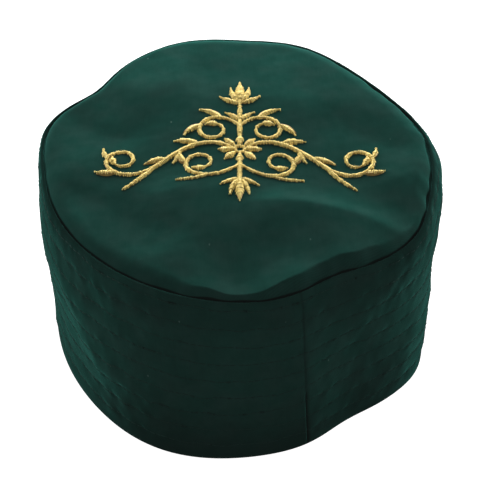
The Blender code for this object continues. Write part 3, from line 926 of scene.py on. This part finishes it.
def twill_group():
    """Fine diagonal ribs of thread with uneven yarns, soft cloudy shade and a little lint."""
    group = bpy.data.node_groups.new("green twill", "ShaderNodeTree")
    socket(group, "Cloth", "NodeSocketVector", "INPUT")
    socket(group, "Place", "NodeSocketVector", "INPUT")
    socket(group, "Colour", "NodeSocketColor", "INPUT", (0.02, 0.07, 0.055, 1))
    socket(group, "Cloudiness", "NodeSocketFloat", "INPUT", 0.12)
    socket(group, "Colour", "NodeSocketColor", "OUTPUT")
    socket(group, "Roughness", "NodeSocketFloat", "OUTPUT")
    socket(group, "Height", "NodeSocketFloat", "OUTPUT")
    start = group.nodes.new("NodeGroupInput")
    end = group.nodes.new("NodeGroupOutput")
    cloth = start.outputs["Cloth"]
    diagonal = ribs(group, cloth, 0.00062, 58)
    yarns = ribs(group, cloth, 0.00034, -20)
    weave = maths(group, "MULTIPLY_ADD", yarns, 0.35, maths(group, "MULTIPLY", diagonal, 0.65))
    slubs = noise(group, stretched(group, cloth, (900, 90, 1)), 1.0, 2.0)
    clouds = noise(group, start.outputs["Place"], 40.0, 4.0, 0.6)
    mottles = noise(group, start.outputs["Place"], 150.0, 3.0, 0.6)
    shade = maths(group, "MULTIPLY_ADD", spread_of(group, clouds), start.outputs["Cloudiness"], 1.0)
    for pattern, strength in ((mottles, MOTTLING), (weave, 0.22), (slubs, 0.16)):
        shade = maths(group, "MULTIPLY_ADD", spread_of(group, pattern), strength, shade)
    scaled = group.nodes.new("ShaderNodeVectorMath")
    scaled.operation = "SCALE"
    greyed = mixed_colour(group, 1.0, start.outputs["Colour"], GREYED_TINT, "MULTIPLY")
    patches = shade_between(group, noise(group, start.outputs["Place"], 75.0, 3.0), 0.36, 0.68, 0.0, 1.0)
    group.links.new(mixed_colour(group, patches, start.outputs["Colour"], greyed), scaled.inputs[0])
    group.links.new(shade, scaled.inputs["Scale"])
    specks = group.nodes.new("ShaderNodeTexVoronoi")
    specks.inputs["Scale"].default_value = 170.0
    group.links.new(stretched(group, cloth, (1.0, 0.6, 1.0), 20), specks.inputs["Vector"])
    pick = group.nodes.new("ShaderNodeSeparateColor")
    group.links.new(specks.outputs["Color"], pick.inputs[0])
    chosen = maths(group, "GREATER_THAN", pick.outputs[0], 1 - LINT_SHARE)
    fleck = shade_between(group, specks.outputs["Distance"], 0.03, 0.09, 0.5, 0.0)
    flecked = mixed_colour(group, maths(group, "MULTIPLY", chosen, fleck), scaled.outputs[0], LINT_GREY)
    group.links.new(flecked, end.inputs["Colour"])
    rough = maths(group, "MULTIPLY_ADD", slubs, 0.12, 0.82)
    group.links.new(rough, end.inputs["Roughness"])
    relief = maths(group, "MULTIPLY_ADD", slubs, 0.5, weave)
    group.links.new(relief, end.inputs["Height"])
    return group


def new_material(name, roughness, sheen, sheen_roughness, sheen_tint, specular):
    made = bpy.data.materials.new(name)
    made.use_nodes = True
    shader = made.node_tree.nodes["Principled BSDF"]
    shader.inputs["Roughness"].default_value = roughness
    shader.inputs["Sheen Weight"].default_value = sheen
    shader.inputs["Sheen Roughness"].default_value = sheen_roughness
    shader.inputs["Sheen Tint"].default_value = (*sheen_tint, 1)
    shader.inputs["Specular IOR Level"].default_value = specular
    return made, made.node_tree, shader


def bumped(tree, shader, height, distance, strength):
    node = tree.nodes.new("ShaderNodeBump")
    node.inputs["Distance"].default_value = distance
    node.inputs["Strength"].default_value = strength
    tree.links.new(height, node.inputs["Height"])
    tree.links.new(node.outputs["Normal"], shader.inputs["Normal"])


def twill(name, group, colour, rows=None):
    """Green cloth; rows is given for the quilted wall, and the crown has none."""
    made, tree, shader = new_material(
        name, roughness=0.85, sheen=0.5, sheen_roughness=0.3, sheen_tint=(0.08, 0.42, 0.34), specular=0.0
    )
    node = tree.nodes.new("ShaderNodeGroup")
    node.node_tree = group
    where = tree.nodes.new("ShaderNodeTexCoord")
    tree.links.new(where.outputs["UV"], node.inputs["Cloth"])
    tree.links.new(where.outputs["Object"], node.inputs["Place"])
    node.inputs["Colour"].default_value = (*colour, 1)
    node.inputs["Cloudiness"].default_value = CLOUDINESS
    colour, height = node.outputs["Colour"], maths(tree, "MULTIPLY", node.outputs["Height"], WEAVE_RELIEF)
    place = parts_of(tree, where.outputs["Object"])
    if rows:
        up = parts_of(tree, where.outputs["UV"])["Y"]
        # Painted shade at both sides of the wall, near its top
        side = shade_between(tree, maths(tree, "ABSOLUTE", place["X"]), *TEMPLE_SIDES)
        temples = maths(tree, "MULTIPLY", side, shade_between(tree, up, *TEMPLE_HEIGHTS))
        # Painted shade under the seam, with a further share at both sides
        collar = maths(tree, "ADD", shade_between(tree, up, *PAINTED_COLLAR_SHADE), temples)
        # Painted shade, darker towards the rim
        foot_shade = shade_between(tree, up, *PAINTED_SHADE_AT_FOOT)
        colour = darkened(tree, maths(tree, "MULTIPLY", foot_shade, collar), colour)
        stitched = tree.nodes.new("ShaderNodeGroup")
        stitched.node_tree = rows
        tree.links.new(where.outputs["UV"], stitched.inputs["Cloth"])
        # Painted shadow: the nips and the upright seam's crease darken the cloth's colour
        kept = maths(tree, "MULTIPLY_ADD", stitched.outputs["Nips"], -NIP_PAINTED_SHADE, 1.0)
        colour = darkened(tree, kept, colour)
        height = maths(tree, "ADD", height, stitched.outputs["Height"])
    else:
        # Painted shade of the seam's groove: the crown's cloth darkens wherever it lies below the seam's
        # level
        colour = darkened(tree, shade_between(tree, place["Z"], *PAINTED_GROOVE_SHADE), colour)
    tree.links.new(colour, shader.inputs["Base Color"])
    tree.links.new(node.outputs["Roughness"], shader.inputs["Roughness"])
    bumped(tree, shader, height, MM, 1.0)
    return made


def gold_yarn(name, bright, dark):
    """Shiny embroidery yarn whose threads differ a little in depth of colour."""
    made, tree, shader = new_material(
        name, roughness=0.4, sheen=0.0, sheen_roughness=0.4, sheen_tint=(1.0, 0.78, 0.35), specular=0.4
    )
    shader.inputs["Metallic"].default_value = 0.3
    where = tree.nodes.new("ShaderNodeTexCoord")
    fine = noise(tree, where.outputs["Object"], 1300.0, 2.0, 0.6)
    broad = noise(tree, where.outputs["Object"], 220.0, 2.0)
    blend = maths(tree, "MULTIPLY_ADD", fine, 0.75, maths(tree, "MULTIPLY", broad, 0.25))
    spread = maths(tree, "MULTIPLY_ADD", spread_of(tree, blend), 4.0, 0.6)
    limited = maths(tree, "MINIMUM", maths(tree, "MAXIMUM", spread, 0.0), 1.0)
    tree.links.new(mixed_colour(tree, limited, (*dark, 1), (*bright, 1)), shader.inputs["Base Color"])
    tree.links.new(maths(tree, "MULTIPLY_ADD", fine, 0.2, 0.28), shader.inputs["Roughness"])
    bumped(tree, shader, fine, 0.00008, 0.5)
    return made


def sewing_thread(name, colour):
    """Dull green thread, a little uneven along its length."""
    made, tree, shader = new_material(
        name, roughness=0.7, sheen=0.02, sheen_roughness=0.4, sheen_tint=(0.5, 0.85, 0.75), specular=0.1
    )
    where = tree.nodes.new("ShaderNodeTexCoord")
    fine = noise(tree, where.outputs["Object"], 1500.0, 1.0)
    dark = tuple(0.6 * part for part in colour)
    tree.links.new(mixed_colour(tree, fine, (*dark, 1), (*colour, 1)), shader.inputs["Base Color"])
    return made


def floor():
    """A plain pale floor, bright to the camera and softer in the light that it throws back."""
    bm = bmesh.new()
    bmesh.ops.create_grid(bm, x_segments=1, y_segments=1, size=6.0)
    mesh = mesh_of("floor", bm)
    made = bpy.data.materials.new("pale floor")
    made.use_nodes = True
    tree = made.node_tree
    shader = tree.nodes["Principled BSDF"]
    shader.inputs["Base Color"].default_value = (0.4, 0.4, 0.4, 1)
    shader.inputs["Roughness"].default_value = 0.9
    shader.inputs["Specular IOR Level"].default_value = 0.0
    shader.inputs["Emission Color"].default_value = (1, 1, 1, 1)
    path = tree.nodes.new("ShaderNodeLightPath")
    glow = maths(tree, "MULTIPLY", path.outputs["Is Camera Ray"], 0.975)
    tree.links.new(glow, shader.inputs["Emission Strength"])
    mesh.materials.append(made)
    ground = bpy.data.objects.new("floor", mesh)
    bpy.context.scene.collection.objects.link(ground)


def softbox(name, place, aim, width, depth, power):
    light = bpy.data.lights.new(name, "AREA")
    light.shape = "RECTANGLE"
    light.size = width
    light.size_y = depth
    light.energy = power
    made = bpy.data.objects.new(name, light)
    made.location = place
    made.rotation_mode = "QUATERNION"
    made.rotation_quaternion = (Vector(aim) - Vector(place)).to_track_quat("-Z", "Y")
    made.visible_camera = False
    bpy.context.scene.collection.objects.link(made)


SOFTBOXES = (
    # name, place, aim, width, depth, power
    ("back softbox", (0.0, 0.48, 0.30), (0.0, 0.0, 0.1), 0.5, 0.25, 5.0),
    ("left softbox", (-0.94, 0.44, 0.24), (0.0, 0.0, 0.06), 0.5, 0.4, 9.5),
    ("right softbox", (0.92, 0.48, 0.24), (0.0, 0.0, 0.06), 0.5, 0.4, 9.5),
    ("front softbox", (0.0, -0.6, 0.38), (0.0, 0.0, 0.06), 0.7, 0.3, 0.82),
)
ROOM_LIGHT = 0.15


def room():
    """A white room that looks bright to the camera and fills the shadows softly."""
    world = bpy.data.worlds.new("white room")
    bpy.context.scene.world = world
    world.use_nodes = True
    tree = world.node_tree
    backdrop = tree.nodes["Background"]
    backdrop.inputs["Color"].default_value = (1, 1, 1, 1)
    path = tree.nodes.new("ShaderNodeLightPath")
    fill = maths(tree, "MULTIPLY_ADD", path.outputs["Is Camera Ray"], 1.0 - ROOM_LIGHT, ROOM_LIGHT)
    tree.links.new(fill, backdrop.inputs["Strength"])


LENS_FLARE = 0.0036
CAMERA_ELEVATION = 44.15
CAMERA_DISTANCE = 0.7
CAMERA_LENS = 100.9
CAMERA_AIM = Vector((0.00027, -0.00075, 0.04441))


def camera():
    data = bpy.data.cameras.new("camera")
    data.lens = CAMERA_LENS
    made = bpy.data.objects.new("camera", data)
    tilt = math.radians(CAMERA_ELEVATION)
    back = Vector((0, -math.cos(tilt), math.sin(tilt)))
    made.location = CAMERA_AIM + back * CAMERA_DISTANCE
    made.rotation_mode = "QUATERNION"
    made.rotation_quaternion = (-back).to_track_quat("-Z", "Y")
    bpy.context.scene.collection.objects.link(made)
    bpy.context.scene.camera = made


def main():
    look = bpy.context.scene.view_settings
    look.view_transform = "Standard"
    look.use_curve_mapping = True
    look.curve_mapping.black_level = [-LENS_FLARE] * 3
    look.curve_mapping.update()
    camera()
    room()
    floor()
    for light in SOFTBOXES:
        softbox(*light)
    group = twill_group()
    quilted = twill("quilted twill", group, QUILTED_GREEN, row_group())
    smooth = twill("smooth twill", group, SMOOTH_GREEN)
    gold = gold_yarn("gold thread", *GOLD_YARN)
    core = gold_yarn("gold padding painted as shade", *GOLD_PADDING_PAINTED_SHADE)
    sewing = sewing_thread("green sewing thread", SEWING_GREEN)
    wall = band(quilted)
    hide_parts("band")
    top = crown(smooth)
    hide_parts("crown")
    threads = satin_threads(gold)
    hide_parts("embroidery")
    satin_core(core)
    row_stitches(sewing)


main()
